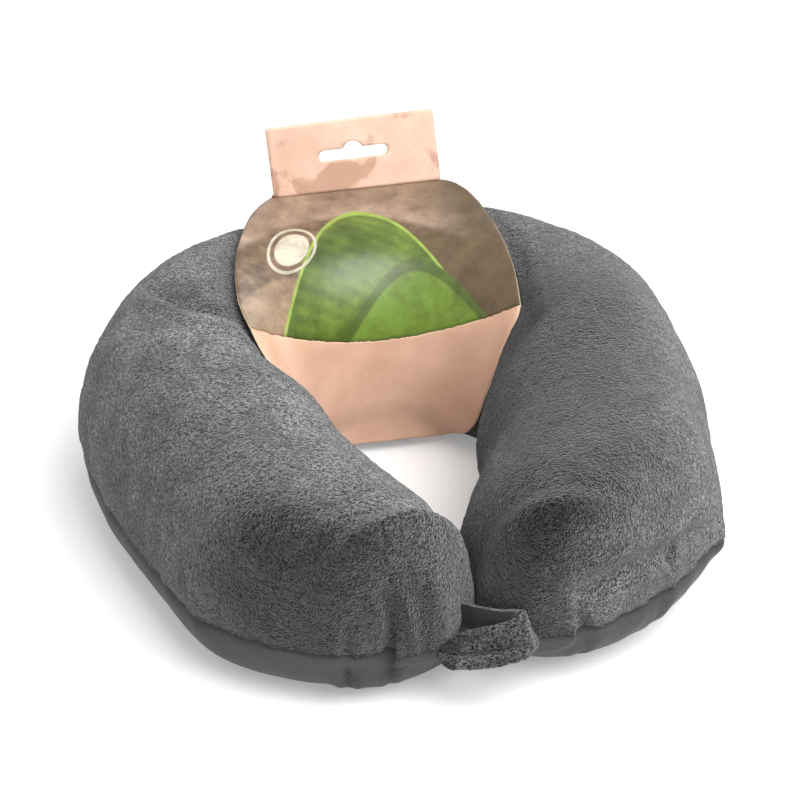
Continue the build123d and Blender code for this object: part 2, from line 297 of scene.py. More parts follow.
def stuffing(points):
    """Slow unevenness of the bead filling, with a swelling beside the card and a squeeze beneath it.

    Across the middle of the rear it is calmer and held in.
    """
    outside = beyond_card(points)
    behind = smooth_step(points[..., 1], 14, 36)
    lumps = layered(points, BEAD_LUMPS) * smooth_step(outside, -4, 6 + 20 * behind)
    swelling = ARM_SWELLING + (BACK_SWELLING - ARM_SWELLING) * behind
    swelling = swelling * smooth_step(outside, -1, 10) * (1 - smooth_step(outside, 14, 60))
    valley = CARD_VALLEY * bell(outside - 2, 5.5) * behind
    shape = lumps + swelling - valley - CARD_SQUEEZE * (1 - smooth_step(outside, -3, 1))
    reach = np.hypot(points[..., 0], points[..., 1])
    rear = smooth_step(reach, 114, 128) * smooth_step(points[..., 1] / np.maximum(reach, 1), 0.82, 0.9)
    return shape * (1 - 0.7 * rear) - REAR_SLACK * rear


# Folds and creases in the stuffed cloth, each a line of points over its surface.
ELBOW_FOLD = (
    (-103, 61, 93), (-99, 57, 96), (-95, 47, 99), (-91, 39, 101), (-87, 31, 101), (-82, 26, 101),
    (-75.5, 23, 100), (-70.5, 20, 99), (-66, 15.5, 97), (-61, 9, 94))
CREASES = {  # width, depth and line; a negative depth is a ridge
    "left": ((1.9, 2.6, ((-55, -126, 22), (-55, -126, 33), (-55, -127, 48))),
             (1.9, 3.0, ((-38.5, -125, 20), (-37.5, -127, 34), (-38.5, -125.5, 50))),
             (3.2, -2.4, ((-29.5, -131, 36), (-31.5, -131, 48), (-33.5, -129, 54), (-35, -127, 62))),
             (3.0, 1.8, ((-34.5, -130, 38), (-37, -129, 50), (-40, -126, 60))),
             (2.2, 1.6, ((-88, -110, 30), (-84, -104, 44))),
             (3.0, 1.2, ((-112, -70, 33), (-108, -60, 55)))),
    "right": ((5.0, 1.2, ((60, 12, 91), (69, 10, 98), (78, 13, 101), (88, 19, 101))),
              (4.6, 3.0, ((38, -134, 49), (49, -132.5, 53), (59, -130, 54.5), (69, -126, 54),
                          (80, -119.5, 52), (89, -115, 52), (101, -106, 47))),
              (2.4, -1.5, ((40, -132.5, 46), (42, -131.5, 40), (45.5, -132, 29))),
              (2.0, 1.9, ((36.5, -133.5, 43), (38.5, -133, 36), (41, -133, 30))),
              (2.4, 1.4, ((82, -118, 55), (80.5, -120, 50), (79, -121.5, 44)))),
}
# A tuft of cloth stands out where the seam turns each tip's outer corner: its place and height.
CORNER_EARS = {"left": ((-110, -94, 31), 2.4), "right": ((114, -95, 32), 4.0)}
EAR_WIDTH = 7
# Painted shade by facing, given as the pile's lie: on each side the cloth that faces one way is darkened,
# and the right arm starts darker, as light falling from the other side would leave them. For each side:
# that way, how light the cloth is with the pile, and how much of that it loses against it on the arm.
FACING_SHADE = {"left": ((-0.2, -0.88, 0.36), 1.0, 0.85), "right": ((-0.5, -0.6, 0.72), 0.84, 0.95)}
FACING_SHADE_AT_BACK = 0.45  # the share of that loss at the back
FACING_SHADE_ROWS = 14  # the painted facing shade is evened over so many rows to each side
PILE_CLUMPS = ((0.16, 2.4, 22), (0.14, 1.3, 23))  # height, spacing and seed
PILE_UNDER_CARD = 0.3  # the share of the pile's relief that stands where the card lies on it


def gathers(points, rows, distances, side):
    """Puckers square to the seams: noise along each seam, dying away over the cloth; none under the card."""
    total = 0
    for ends, distance, seed in ((rows[:, 2:4], distances[0], 11), (rows[:, :2], distances[1], 12)):
        foot = np.column_stack([ends * (SIDES[side], 1), np.zeros(len(ends))])
        along = rumple(foot, 9.5, seed) + 0.6 * rumple(foot, 5.2, seed + 5)
        tip = smooth_step(-ends[:, 1], 55, 120)[:, None]
        total = total + along[:, None] * (0.7 + 0.9 * tip) * np.exp(-distance / (7 + 7 * tip))
    return total * smooth_step(beyond_card(points), -2, 8)


def sewn(points, edge, side):
    """What both covers share where they are sewn together: the drawn-in seam and the corner's tuft."""
    place, height = CORNER_EARS[side]
    tuft = height * bell(np.linalg.norm(points - np.array(place), axis=-1), EAR_WIDTH)
    return tuft - SEAM_TUCK * bell(edge, 3.2)


def pile_relief(points, weave, edge):
    """Clumps, short streaks drawn out round the tube, and a ragged fringe that hangs over the seam."""
    warp = 3 * rumple(points, 7, 21)[..., None] * (0.5, 0.1, 0)
    streaks = 0.16 * rumple(weave * (1, 0.4, 1) + warp, 1.7, 24)
    fringe = smooth_step(-edge, -3.5, -0.5) * (0.7 + 0.7 * rumple(points, 1.6, 25))
    return layered(points, PILE_CLUMPS) + streaks + fringe


def evened(values, reach):
    """Running mean down the columns, over so many rows to each side."""
    span = 2 * reach + 1
    total = np.cumsum(np.pad(values, ((reach + 1, reach), (0, 0)), mode="edge"), axis=0)
    return (total[span:] - total[:-span]) / span


def grid_mesh(name, grid, uv, flip=False, wrap_columns=False):
    """A mesh of quads over a grid of points about the neck's middle; points and uv are in millimetres."""
    rows, columns = grid.shape[:2]
    index = np.arange(rows * columns).reshape(rows, columns)
    if wrap_columns:
        index = np.hstack([index, index[:, :1]])
    quads = np.stack([index[:-1, :-1], index[1:, :-1], index[1:, 1:], index[:-1, 1:]], -1).reshape(-1, 4)
    if flip:
        quads = quads[:, ::-1]
    mesh = bpy.data.meshes.new(name)
    mesh.from_pydata(((grid + neck_middle) * MM).reshape(-1, 3), [], quads.tolist())
    mesh.shade_smooth()
    corners = (uv * MM).reshape(-1, 2)[quads.ravel()]
    mesh.uv_layers.new(name="cloth").uv.foreach_set("vector", corners.astype(np.float32).ravel())
    piece = bpy.data.objects.new(name, mesh)
    bpy.context.scene.collection.objects.link(piece)
    return piece


def point_values(piece, name, values):
    """Stores one number for each point of a piece, for its material to read."""
    attribute = piece.data.attributes.new(name, "FLOAT", "POINT")
    attribute.data.foreach_set("value", np.ascontiguousarray(values, np.float32).ravel())


def tint(red, green, blue):
    """A colour written 0 to 255, as the linear values that shaders take."""
    c = np.array((red, green, blue)) / 255
    return (*np.where(c < 0.04045, c / 12.92, ((c + 0.055) / 1.055) ** 2.4).tolist(), 1.0)


def finish(name, **sockets):
    """A new material; returns it with its node tree and its shader, whose plain sockets are set here."""
    made = bpy.data.materials.new(name)
    made.use_nodes = True
    shader = made.node_tree.nodes["Principled BSDF"]
    for socket, value in sockets.items():
        shader.inputs[socket.replace("_", " ")].default_value = value
    return made, made.node_tree, shader


def add(tree, kind, sockets=(), **settings):
    """One more node: its settings, then its sockets by name or number, each a value or another's output."""
    node = tree.nodes.new("ShaderNode" + kind)
    for key, value in settings.items():
        setattr(node, key, value)
    for key, value in dict(sockets).items():
        if isinstance(value, bpy.types.NodeSocket):
            tree.links.new(value, node.inputs[key])
        else:
            node.inputs[key].default_value = value
    return node


def noise(tree, where, scale, detail=2.0, rough=0.5, warp=0.0):
    """Noise of a given number of lumps to the metre, from 0 to 1."""
    return add(tree, "TexNoise", {"Vector": where, "Scale": scale, "Detail": detail, "Roughness": rough,
                                  "Distortion": warp}).outputs["Fac"]


def ramp(tree, factor, *stops):
    """Colours by position along a factor."""
    node = add(tree, "ValToRGB", {"Fac": factor})
    while len(node.color_ramp.elements) < len(stops):
        node.color_ramp.elements.new(0.5)
    for element, (position, colour) in zip(node.color_ramp.elements, stops):
        element.position, element.color = position, colour
    return node.outputs["Color"]


def mixed(tree, factor, first, second, blend="MIX"):
    """One colour over another."""
    return add(tree, "Mix", {0: factor, 6: first, 7: second}, data_type="RGBA", blend_type=blend).outputs[2]


def maths(tree, operation, first, second=0.0, third=0.0):
    """One sum of the Math node."""
    return add(tree, "Math", {0: first, 1: second, 2: third}, operation=operation).outputs[0]


plush, tree, shader = finish("grey_plush", Roughness=1.0, Sheen_Weight=0.58, Sheen_Roughness=0.42,
                             Sheen_Tint=tint(222, 222, 224), Specular_IOR_Level=0.05)
where = add(tree, "TexCoord").outputs["Object"]
slanted = add(tree, "Mapping", {"Vector": where, "Rotation": (0, 0, 0.5), "Scale": (0.8, 1.15, 1.05)})
ripples = noise(tree, slanted.outputs["Vector"], 900, 1.5, 0.5, 1.4)
tufts = noise(tree, where, 1000, 2, 0.6, 0.4)
pile = maths(tree, "MULTIPLY_ADD", tufts, 0.45, maths(tree, "MULTIPLY", ripples, 0.55))
nap_and_facing_shade = noise(tree, where, 42, 4, 0.62, 1.2)
shade = ramp(tree, pile, (0.41, tint(20, 20, 21)), (0.5, tint(98, 98, 99)), (0.59, tint(176, 176, 177)))
shade = mixed(tree, 1.0, shade, ramp(tree, nap_and_facing_shade, (0.34, tint(172, 172, 173)), (0.5, tint(222, 222, 223)),
                                     (0.64, tint(255, 255, 255))), "MULTIPLY")
# Two numbers are kept at each point, both painted shade: how light the cloth is by the way it faces, given as
# the brushed pile's lie, and how deep it lies in a fold, at a seam or beside the card.
facing_shade = add(tree, "Attribute", attribute_name="nap_and_facing_shade").outputs["Fac"]
shade = mixed(tree, facing_shade, tint(0, 0, 0), shade)
painted_shade = add(tree, "Attribute", attribute_name="painted_shade").outputs["Fac"]
shade = mixed(tree, painted_shade, shade, tint(16, 16, 17))
tree.links.new(shade, shader.inputs["Base Color"])
tree.links.new(add(tree, "Bump", {"Strength": 1.0, "Distance": 0.0036, "Height": pile}).outputs["Normal"],
               shader.inputs["Normal"])

plush_covers = {}
for side, hand in SIDES.items():
    rows = ribs_along(side, PLUSH_GRID)
    angles = section_angles(TUBE_WIDTH / 2, TUBE_RISE, TOP_FULLNESS, int(PLUSH_GIRTH / PLUSH_GRID))
    grid = tube_half(side, rows, angles, above=True)
    normal = outward(grid, -hand)
    distances = seam_distances(grid)
    edge = to_edge(grid, distances)
    from_seam = smooth_step(edge, -1, 9)  # at the seam both covers keep to the same line
    shape = stuffing(grid) * from_seam + gathers(grid, rows, distances, side)
    for width, depth, line in CREASES[side]:
        shape += groove(grid, line, width, depth)
    fold, fold_shade = overlap_fold(grid, ELBOW_FOLD, depth=6.2, reach=19, lip=2.4)
    shape += fold + sewn(grid, edge, side)
    stuffed = grid + normal * shape[..., None]
    step = np.linalg.norm(np.diff(stuffed, axis=0, prepend=stuffed[:1]), axis=-1)
    weave = np.dstack([np.cumsum(step, axis=0) * hand, seam_distances(stuffed)[0], np.zeros_like(edge)])
    covered = smooth_step(-beyond_card(grid), -1, 2)
    shape += pile_relief(grid, weave, edge) * (1 - (1 - PILE_UNDER_CARD) * covered)
    grid = grid + normal * shape[..., None]
    piece = grid_mesh("plush_cover_" + side, grid, weave[..., :2], flip=hand > 0)
    piece.data.materials.append(plush)
    # Painted shade: darker at the seam, in the elbow fold's crease and over its pocket, and beside the card.
    shade_at_seam = 0.75 * bell(edge, 1.6)
    shade_beside_card = 0.5 * bell(np.maximum(beyond_card(grid), 0), 7) * smooth_step(grid[..., 2], 60, 84)
    point_values(piece, "painted_shade", np.maximum(np.maximum(shade_at_seam, shade_beside_card), 0.85 * fold_shade))
    # Painted shade by facing: cloth that faces the listed way is darkened, evened over rows, and less at the
    # back.
    shaded_facing, level, loss = FACING_SHADE[side]
    facing_shade = evened(smooth_step(normal @ np.array(shaded_facing), 0.2, 1), FACING_SHADE_ROWS)
    facing_shade *= FACING_SHADE_AT_BACK + (1 - FACING_SHADE_AT_BACK) * smooth_step(-grid[..., 1], -60, 0)
    point_values(piece, "nap_and_facing_shade", level * (1 - loss * facing_shade))
    plush_covers[side] = piece

for side, hand in SIDES.items():
    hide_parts("top_cover_" + side, "top_cover_back")
    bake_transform(plush_covers[side])


# --- Smooth lower cover --------------------------------------------------------------------------
# A plain, closely knitted grey fabric under the pillow, sewn to the plush all round at a third of its
# height. It is flat where it rests on the floor or on the sleeve, and gathers a little at the seam.

KNIT_GRID = 1.6
KNIT_GIRTH = 138.0
BACK_LIFT = 1.0  # the board beneath the back keeps it so far off the floor
CARD_PRESS = 3.2  # how deep the board presses the cloth in
KNIT_PLEATS = {  # width, depth and line, as the creases of both covers
    "left": ((1.9, 2.6, ((-53.4, -120, 6), (-54.2, -125, 15), (-54, -124.5, 24))),
             (1.9, 2.2, ((-36.4, -119, 8), (-36.6, -125, 16), (-36.5, -124.5, 25)))),
    "right": ((2.0, 1.4, ((40, -124, 10), (42, -131, 17), (42.5, -132, 24))),
              (2.2, 1.2, ((74, -115, 10), (76, -121.5, 17), (77, -122, 24)))),
}

knit, tree, shader = finish("grey_smooth_fabric", Roughness=0.72, Sheen_Weight=0.12, Sheen_Roughness=0.4,
                            Specular_IOR_Level=0.3)
where = add(tree, "TexCoord").outputs["Object"]
cloth = add(tree, "UVMap", uv_map="cloth").outputs["UV"]
worn = noise(tree, where, 30, 3)
shade = ramp(tree, worn, (0.3, tint(60, 60, 62)), (0.7, tint(74, 74, 76)))
grain = noise(tree, where, 900, 2)
shade = mixed(tree, 0.25, shade, ramp(tree, grain, (0.3, tint(48, 48, 50)), (0.7, tint(86, 86, 88))))
# Painted shade, kept at each point: darker at the seam and along the pleats.
painted_shade = add(tree, "Attribute", attribute_name="painted_shade").outputs["Fac"]
shade = mixed(tree, painted_shade, shade, tint(26, 26, 27))
tree.links.new(shade, shader.inputs["Base Color"])
ribbing = add(tree, "TexWave", {"Vector": cloth, "Scale": 420.0, "Distortion": 0.4}).outputs["Fac"]
tree.links.new(add(tree, "Bump", {"Strength": 0.25, "Distance": 0.0002, "Height": ribbing}).outputs["Normal"],
               shader.inputs["Normal"])

for side, hand in SIDES.items():
    rows = ribs_along(side, KNIT_GRID)
    angles = section_angles(TUBE_WIDTH / 2, TUBE_SINK, LOW_FULLNESS[side], int(KNIT_GIRTH / KNIT_GRID))
    grid = tube_half(side, rows, angles, above=False)
    normal = outward(grid, hand)
    distances = seam_distances(grid)
    edge = to_edge(grid, distances)
    margin = 5 + 9 * smooth_step(grid[..., 1], 60, 110)  # the cloth is pressed so far outside the board
    pressed = CARD_PRESS * smooth_step(-beyond_card(grid), -margin, 1)
    shape = (0.8 * rumple(grid, 40, 5) - pressed) * smooth_step(edge, -1, 9)
    shape = shape + gathers(grid, rows, distances, side)
    for width, depth, line in CREASES[side] + KNIT_PLEATS[side]:
        shape += groove(grid, line, width, depth)
    shape += sewn(grid, edge, side)
    # Painted shade at the seam and along the pleats.
    shaded = 0.7 * bell(edge, 2)
    for _, depth, line in KNIT_PLEATS[side]:
        shaded = np.maximum(shaded, 0.22 * depth * bell(off_line(grid, line)[0], 1.7))
    grid = grid + normal * shape[..., None]
    floor = BACK_LIFT * (grid[..., 1] > 0) * (1 - smooth_step(np.abs(grid[..., 0]), 40, 62))
    grid[..., 2] = np.maximum(grid[..., 2], floor)
    weave = np.dstack([np.repeat(np.arange(len(rows))[:, None] * KNIT_GRID, len(angles), 1), distances[0]])
    piece = grid_mesh("smooth_cover_" + side, grid, weave, flip=hand < 0)
    piece.data.materials.append(knit)
    point_values(piece, "painted_shade", shaded)
    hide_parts("bottom_cover_" + side, "bottom_cover_back", "liner_" + side, "liner_back",
                "bead_fill_" + side, "bead_fill_back")
    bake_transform(piece)


# --- Printed card sleeve -------------------------------------------------------------------------
# One sheet of thin board wrapped round the back of the pillow. The printed face runs from a crease on
# the neck's inner wall over the top to the header; below the crease the board is bare kraft.

CARD_THICKNESS = 0.6
CARD_OFF = 0.7  # the middle of the board stands this far off the tube
TUBE_RADIUS = NECK_RADIUS + TUBE_WIDTH / 2
RIDGE_RADIUS = 112.0
RIDGE_HEIGHT = TUBE_RISE + SEAM_HEIGHT + 4.7
RIDGE_DROP = 2.0  # its left end sags this much
HEADER_WIDTH = 78.0
CREASE_LOW = (48.0, 59.5)  # back and up, where the sloping crease crosses the middle
CREASE_SLOPE = 1.02
FOOT = (45.4, 6.0)  # back and up, the straight fold at the foot of the inner wall
FOOT_LEAN = 0.02  # how much the wall falls back from there, to its height
BOARD_STIFFNESS = 1.5  # how gradually the wall turns from the tube's curve to straight


def sleeve_place(points):
    """Turns points drawn square to the middle line to where the sleeve sits, a little towards one arm."""
    turn = radians(SLEEVE_TURN)
    x, y = points[..., 0], points[..., 1]
    return np.stack([x * cos(turn) - y * sin(turn), x * sin(turn) + y * cos(turn), points[..., 2]], -1)


def wrap_profile():
    """Radius, height and length of the board's middle line: up the inner wall, over the top, to the ridge.

    It is the tube's own superellipse, stood off by CARD_OFF, and then a straight line.
    """
    half_width, rise = TUBE_WIDTH / 2 + CARD_OFF, TUBE_RISE + CARD_OFF
    low = np.radians(np.linspace(-75, 0, 120))[:-1]
    up = np.radians(np.linspace(0, 90, 200))
    power, low_power = 2 / TOP_FULLNESS, 2 / LOW_FULLNESS["right"]
    radius = np.concatenate([TUBE_RADIUS - half_width * np.cos(low) ** low_power,
                             TUBE_RADIUS - half_width * np.cos(up) ** power])
    height = np.concatenate([SEAM_HEIGHT - (TUBE_SINK + CARD_OFF) * np.sin(-low) ** low_power,
                             SEAM_HEIGHT + rise * np.sin(up) ** power])
    on = np.linspace(0, 1, 40)[1:]
    radius = np.concatenate([radius, TUBE_RADIUS + (RIDGE_RADIUS - TUBE_RADIUS) * on])
    height = np.concatenate([height, height[-1] + (RIDGE_HEIGHT - height[-1]) * on])
    length = np.concatenate([[0], np.cumsum(np.hypot(np.diff(radius), np.diff(height)))])
    return radius, height, length


wrap_radius, wrap_height, wrap_length = wrap_profile()


def on_wrap(x, along):
    """A point of the board at a distance to the side and along its profile; it straightens to the ridge."""
    radius = np.interp(along, wrap_length, wrap_radius)
    height = np.interp(along, wrap_length, wrap_height)
    straight = smooth_step(radius, TUBE_RADIUS - 14, RIDGE_RADIUS)
    curved = np.sqrt(np.maximum(radius ** 2 - x ** 2, 1))
    back = curved * (1 - straight) + radius * straight
    return np.stack(np.broadcast_arrays(x, back, height), -1)


def crease_along(x):
    """Where along the profile the board first rises above the sloping crease, for each place to the side."""
    first, last = 60, 300  # steps of the profile to look between
    points = on_wrap(x[:, None], wrap_length[None, first:last])
    above = points[..., 2] - CREASE_LOW[1] - (CREASE_LOW[0] - points[..., 1]) * CREASE_SLOPE
    return wrap_length[first + np.argmax(above > 0, axis=1)]


def wall_back(x, height):
    """How far back the inner wall's board is: the lesser of the tube's curve and a line straight across.

    Where the two meet the board turns gradually, by the logarithm of a sum of exponentials.
    """
    above = height > SEAM_HEIGHT
    fullness = np.where(above, TOP_FULLNESS, LOW_FULLNESS["right"])
    reach = np.where(above, TUBE_RISE + CARD_OFF, TUBE_SINK + CARD_OFF)
    share = np.abs(height - SEAM_HEIGHT) / reach
    radius = TUBE_RADIUS - (TUBE_WIDTH / 2 + CARD_OFF) * (1 - share ** fullness) ** (1 / fullness)
    curved = np.sqrt(np.maximum(radius ** 2 - x ** 2, 1))
    straight = FOOT[0] + FOOT_LEAN * (height - FOOT[1])
    lesser = -BOARD_STIFFNESS * np.logaddexp(-curved / BOARD_STIFFNESS, -straight / BOARD_STIFFNESS)
    return lesser + 0.8  # about what the rounding takes off where they meet


def board(piece, face, edge, reverse):
    """Gives a sheet its thickness; the cut edges and the reverse take their own finish."""
    for finish_used in (face, edge, reverse):
        piece.data.materials.append(finish_used)
    solid = piece.modifiers.new("board", "SOLIDIFY")
    solid.thickness, solid.offset = CARD_THICKNESS * MM, 0.0
    solid.material_offset_rim, solid.material_offset = 1, 2
    return piece


def kraft_shade(tree, where, base, dark, light):
    """Bare kraft board: a warm ground with fibres and small flecks."""
    shade = ramp(tree, noise(tree, where, 55, 4), (0.3, dark), (0.7, base))
    flecks = ramp(tree, noise(tree, where, 1300, 1), (0.62, (0, 0, 0, 1)), (0.74, (1, 1, 1, 1)))
    shade = mixed(tree, maths(tree, "MULTIPLY", flecks, 0.5), shade, dark)
    elsewhere = add(tree, "Mapping", {"Vector": where, "Location": (0.3, 0.2, 0.1)}).outputs[0]
    pale = ramp(tree, noise(tree, elsewhere, 1300, 1), (0.64, (0, 0, 0, 1)), (0.72, (1, 1, 1, 1)))
    return mixed(tree, maths(tree, "MULTIPLY", pale, 0.4), shade, light)


kraft, tree, shader = finish("kraft_board", Roughness=0.62, Specular_IOR_Level=0.4)
where = add(tree, "TexCoord").outputs["Object"]
shade = kraft_shade(tree, where, tint(232, 190, 165), tint(214, 170, 144), tint(246, 216, 194))
tree.links.new(shade, shader.inputs["Base Color"])
fibre = noise(tree, where, 1500, 2)
tree.links.new(add(tree, "Bump", {"Strength": 0.15, "Distance": 0.0001, "Height": fibre}).outputs["Normal"],
               shader.inputs["Normal"])

cut_edge, tree, shader = finish("cut_board_edge", Roughness=0.8)
where = add(tree, "TexCoord").outputs["Object"]
tree.links.new(ramp(tree, noise(tree, where, 500, 2), (0.3, tint(206, 186, 150)), (0.7, tint(236, 222, 190))),
               shader.inputs["Base Color"])

# The print: brown hills under a hazy sky, a green mound with a lime rim and a nearer one with a dark rim,
# and a pale ringed disc. The sky's light band along the top is also a painted highlight of the board's glare.
printed, tree, shader = finish("printed_board", Roughness=0.36, Specular_IOR_Level=0.5, Coat_Weight=0.2,
                               Coat_Roughness=0.3)
where = add(tree, "TexCoord").outputs["Object"]
spot = add(tree, "SeparateXYZ", {0: add(tree, "UVMap", uv_map="cloth").outputs["UV"]})
across, up = spot.outputs[0], spot.outputs[1]


def edge_below(tree, line, soft):
    """1 where up lies below a line, with a soft edge: a number from 0 to 1."""
    gap = maths(tree, "SUBTRACT", line, up)
    return add(tree, "MapRange", {0: gap, 1: -soft, 2: soft, 3: 0.0, 4: 1.0}).outputs[0]


def wave(tree, level, height, turns, start, slope):
    """A hill's outline: its level, plus its slope times the way across, plus its height times a sine."""
    angle = maths(tree, "MULTIPLY_ADD", across, turns, start)
    swing = maths(tree, "MULTIPLY", maths(tree, "SINE", angle), height)
    return maths(tree, "ADD", maths(tree, "MULTIPLY_ADD", across, slope, level), swing)


def between(tree, value, low, high):
    """0 below low, 1 above high."""
    return add(tree, "MapRange", {0: value, 1: low, 2: high, 3: 0.0, 4: 1.0}).outputs[0]


# Each outline, in metres and radians: level, height, turn to the metre, start and slope.
FAR_HILLS = (0.060, 0.005, 50, 2.2, -0.10)
MIDDLE_HILLS = (0.040, 0.006, 58, 0.4, 0.22)
NEAR_SLOPE = (0.020, 0.007, 44, 3.4, -0.30)
GROUND = (0.008, 0.003, 62, 1.0, -0.06)
MOUND = (0.033, 0.036, 46, 1.75, 0.0)
NEAR_MOUND = (0.016, 0.019, 60, 0.5, 0.1)
RIM, NEAR_RIM = 0.0028, 0.006  # how broad the line along each mound's outline is
DISC_MIDDLE = (-0.036, 0.052)
DISC_EDGE = (0.0086, 0.0080)  # the radius where the disc ends, and where it is whole
RING_RADIUS = 0.0112
RING_EDGE = (0.0009, 0.0005)  # the same to each side of the ring

grain = noise(tree, where, 130, 5, 0.62)
cloud = noise(tree, where, 34, 4, 0.6)
# Sky: print, and also a painted highlight, lighter along the board's top where its glare would be.
sky_and_painted_glare = ramp(tree, cloud, (0.3, tint(140, 116, 96)), (0.5, tint(166, 140, 120)), (0.66, tint(196, 170, 152)))
earth = ramp(tree, grain, (0.32, tint(92, 74, 54)), (0.5, tint(122, 99, 77)), (0.68, tint(150, 126, 102)))
shade = mixed(tree, edge_below(tree, wave(tree, *FAR_HILLS), 0.002), sky_and_painted_glare, earth)
shade = mixed(tree, edge_below(tree, wave(tree, *MIDDLE_HILLS), 0.0012), shade, tint(112, 92, 64))
shade = mixed(tree, between(tree, across, 0.012, 0.046), shade, tint(104, 86, 62))
sand = mixed(tree, grain, tint(112, 86, 62), tint(196, 168, 138))
shade = mixed(tree, edge_below(tree, wave(tree, *NEAR_SLOPE), 0.001), shade, sand)
shade = mixed(tree, edge_below(tree, wave(tree, *GROUND), 0.001), shade, tint(66, 54, 34))

mound = wave(tree, *MOUND)
shade = mixed(tree, edge_below(tree, mound, 0.0006), shade, tint(160, 186, 84))
within_rim = edge_below(tree, maths(tree, "SUBTRACT", mound, RIM), 0.0006)
leaf = ramp(tree, cloud, (0.32, tint(72, 92, 34)), (0.5, tint(98, 122, 44)), (0.66, tint(134, 158, 62)))
shade = mixed(tree, within_rim, shade, leaf)
stripes = maths(tree, "SINE", maths(tree, "MULTIPLY", maths(tree, "MULTIPLY_ADD", across, 0.7, up), 900.0))
stripes = maths(tree, "MULTIPLY", maths(tree, "MULTIPLY_ADD", stripes, 0.5, 0.5), within_rim)
shade = mixed(tree, maths(tree, "MULTIPLY", stripes, 0.22), shade, tint(40, 76, 24))

near_mound = wave(tree, *NEAR_MOUND)
shade = mixed(tree, edge_below(tree, near_mound, 0.0006), shade, tint(88, 108, 44))
within_rim = edge_below(tree, maths(tree, "SUBTRACT", near_mound, NEAR_RIM), 0.0008)
shade = mixed(tree, within_rim, shade, tint(118, 148, 54))

dx = maths(tree, "SUBTRACT", across, DISC_MIDDLE[0])
dy = maths(tree, "SUBTRACT", up, DISC_MIDDLE[1])
disc = maths(tree, "SQRT", maths(tree, "MULTIPLY_ADD", dx, dx, maths(tree, "MULTIPLY", dy, dy)))
shade = mixed(tree, between(tree, disc, *DISC_EDGE), shade, tint(212, 204, 184))
ring = maths(tree, "ABSOLUTE", maths(tree, "SUBTRACT", disc, RING_RADIUS))
shade = mixed(tree, between(tree, ring, *RING_EDGE), shade, tint(206, 198, 178))
worn = ramp(tree, noise(tree, where, 90, 5, 0.65), (0.3, tint(196, 192, 186)), (0.62, tint(255, 255, 255)))
tree.links.new(mixed(tree, 1.0, shade, worn, "MULTIPLY"), shader.inputs["Base Color"])

EDGE_LIFT = 1.2  # the card's sides spring off the cloth a little
BOARD_WAVE = 0.5  # and it isn't quite flat
COLUMNS, ROWS = 97, 73  # points across each panel and up it
columns = np.linspace(-1, 1, COLUMNS)
crease = crease_along(face_edge(columns, 0) * columns)
ridge_along = wrap_length[-1]
up_face = np.linspace(0, 1, ROWS)[:, None] ** 0.9
along = crease + (ridge_along - crease) * up_face
x = columns * face_edge(columns, up_face)
grid = on_wrap(x, along)
grid[..., 2] += EDGE_LIFT * smooth_step(np.abs(columns), 0.8, 1) * (1 - up_face ** 4)
grid[..., 2] -= RIDGE_DROP * (0.5 - x / HEADER_WIDTH) * up_face ** 3
grid[..., 2] += BOARD_WAVE * rumple(grid, 24, 31) * np.sin(np.pi * up_face)
from_crease = np.dstack([x, along - crease[COLUMNS // 2]])
face_panel = grid_mesh("sleeve_face", sleeve_place(grid), from_crease, flip=True)
board(face_panel, printed, cut_edge, kraft)
crease_line = grid[0]

down = np.linspace(0, 1, ROWS)[:, None]
edge_height = WALL_EDGE[-1, 0] + (FOOT[1] - WALL_EDGE[-1, 0]) * down
x = columns * wall_edge(columns, edge_height)
height = crease_line[:, 2] + (FOOT[1] - crease_line[:, 2]) * down
grid = np.dstack([x, wall_back(x, height), height])
grid[..., 1] += (crease_line[:, 1] - grid[:1, :, 1]) * (1 - smooth_step(down, 0, 0.2))
grid[..., 1] += BOARD_WAVE * rumple(grid, 26, 32) * np.sin(np.pi * down)
inner_panel = grid_mesh("sleeve_inner", sleeve_place(grid), np.dstack([x, height]))
board(inner_panel, kraft, cut_edge, kraft)

for piece, node in ((face_panel, "sleeve_face_panel"), (inner_panel, "sleeve_inner_panel")):
    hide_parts(node)
    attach(piece, "sleeve")
for name in ("sleeve_rear_panel", "sleeve_under_panel"):
    node = frame["nodes"][name]
    node.data.materials.clear()
    node.data.materials.append(kraft)


# --- Header --------------------------------------------------------------------------------------
# The two ends of the board glued back to back above the ridge, punched with a hang hole. It has warped
# in handling: it leans back further at one end than at the other.

HEADER_HEIGHT = 33.0
HEADER_CORNER = 1.2
HEADER_LEAN = (9.0, 18.0)  # at its left and right ends, in degrees
HEADER_SKEW = (0.9, -2.4)  # sideways at its foot, and from there to its top
HEADER_FOOT = 0.3  # above the ridge
PLY_OFF = 0.32  # each ply's middle from where they meet
SLOT_HALF_STRAIGHT = 13.25
SLOT_RADIUS = 2.75
SLOT_MIDDLE = 17.0  # above the ridge
SLOT_BUMP = 4.5  # radius of the round bump over the slot's middle


def far_edge(turn, inside):
    """How far a closed outline lies from its middle in each direction, by halving the distance."""
    low, high = np.zeros_like(turn), np.full_like(turn, 80.0)
    for _ in range(40):
        middle = (low + high) / 2
        within = inside(middle * np.cos(turn), middle * np.sin(turn))
        low, high = np.where(within, middle, low), np.where(within, high, middle)
    return low


def in_slot(x, y):
    """Inside the long slot or the round bump over its middle."""
    long_slot = np.hypot(np.maximum(np.abs(x) - SLOT_HALF_STRAIGHT, 0), y) < SLOT_RADIUS
    return long_slot | (np.hypot(x, y - SLOT_RADIUS / 2) < SLOT_BUMP)


